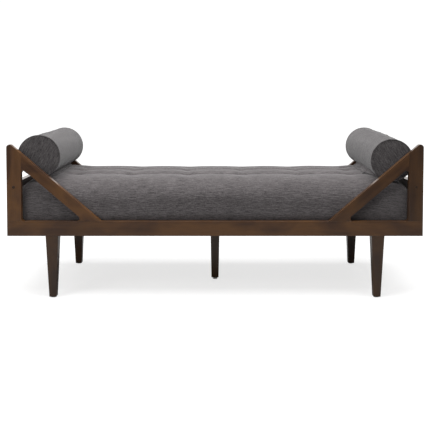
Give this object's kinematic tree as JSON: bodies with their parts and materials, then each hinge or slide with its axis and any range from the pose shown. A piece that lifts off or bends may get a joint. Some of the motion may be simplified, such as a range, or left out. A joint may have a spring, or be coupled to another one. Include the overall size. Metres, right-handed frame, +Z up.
{
  "type": "daybed",
  "caption": "Long low daybed: timber frame with triangular end braces on tapered legs, tufted grey mattress and a round bolster lying across each end.",
  "frame": {"origin": "on the floor, under the middle of the frame", "axes": "+X along the length to the right, +Y to the back, +Z up"},
  "size_m": [1.95, 0.71, 0.77],
  "materials": {
    "walnut": "dark walnut stain, satin lacquer",
    "pale_wood": "plain sawn, unfinished",
    "mattress_cloth": "heathered charcoal linen-look weave with slubs",
    "bolster_cloth": "heathered charcoal linen-look weave with slubs",
    "steel": "zinc plated",
    "nylon": "moulded, satin"
  },
  "bodies": {
    "frame": {"brace_front_left": "walnut", "brace_front_right": "walnut", "brace_rear_left": "walnut", "brace_rear_right": "walnut", "centre_beam": "pale_wood", "centre_leg": "walnut", "centre_leg_bolt": "steel", "corner_block_front_left": "pale_wood", "corner_block_front_right": "pale_wood", "corner_block_rear_left": "pale_wood", "corner_block_rear_right": "pale_wood", "front_cleat": "pale_wood", "front_rail": "walnut", "glide_front_left": "nylon", "glide_front_right": "nylon", "glide_rear_left": "nylon", "glide_rear_right": "nylon", "leg_bolt_front_left": "steel", "leg_bolt_front_right": "steel", "leg_bolt_rear_left": "steel", "leg_bolt_rear_right": "steel", "leg_front_left": "walnut", "leg_front_right": "walnut", "leg_rear_left": "walnut", "leg_rear_right": "walnut", "lower_end_rail_left": "walnut", "lower_end_rail_right": "walnut", "plug_front_left": "walnut", "plug_front_right": "walnut", "plug_rear_left": "walnut", "plug_rear_right": "walnut", "post_bolt_front_left": "steel", "post_bolt_front_right": "steel", "post_bolt_rear_left": "steel", "post_bolt_rear_right": "steel", "post_front_left": "walnut", "post_front_right": "walnut", "post_rear_left": "walnut", "post_rear_right": "walnut", "rear_cleat": "pale_wood", "rear_rail": "walnut", "slat_1": "pale_wood", "slat_10": "pale_wood", "slat_2": "pale_wood", "slat_3": "pale_wood", "slat_4": "pale_wood", "slat_5": "pale_wood", "slat_6": "pale_wood", "slat_7": "pale_wood", "slat_8": "pale_wood", "slat_9": "pale_wood", "upper_end_rail_left": "walnut", "upper_end_rail_right": "walnut"},
    "mattress": {"mattress": "mattress_cloth"},
    "bolster_left": {"bolster_left": "bolster_cloth"},
    "bolster_right": {"bolster_right": "bolster_cloth"},
    "leveller": {"leveller_pad": "nylon", "leveller_stem": "steel"}
  },
  "joints": [
    {"name": "mattress_lift", "type": "slide", "parent": "frame", "child": "mattress", "axis": [0, 0, 1], "range_m": [0, 0.44]},
    {"name": "bolster_left_lift", "type": "slide", "parent": "mattress", "child": "bolster_left", "axis": [0, 0, 1], "range_m": [0, 0.25]},
    {"name": "bolster_right_lift", "type": "slide", "parent": "mattress", "child": "bolster_right", "axis": [0, 0, 1], "range_m": [0, 0.25]},
    {"name": "leveller_slide", "type": "slide", "parent": "frame", "child": "leveller", "axis": [0, 0, 1], "range_m": [0, 0.005]}
  ]
}
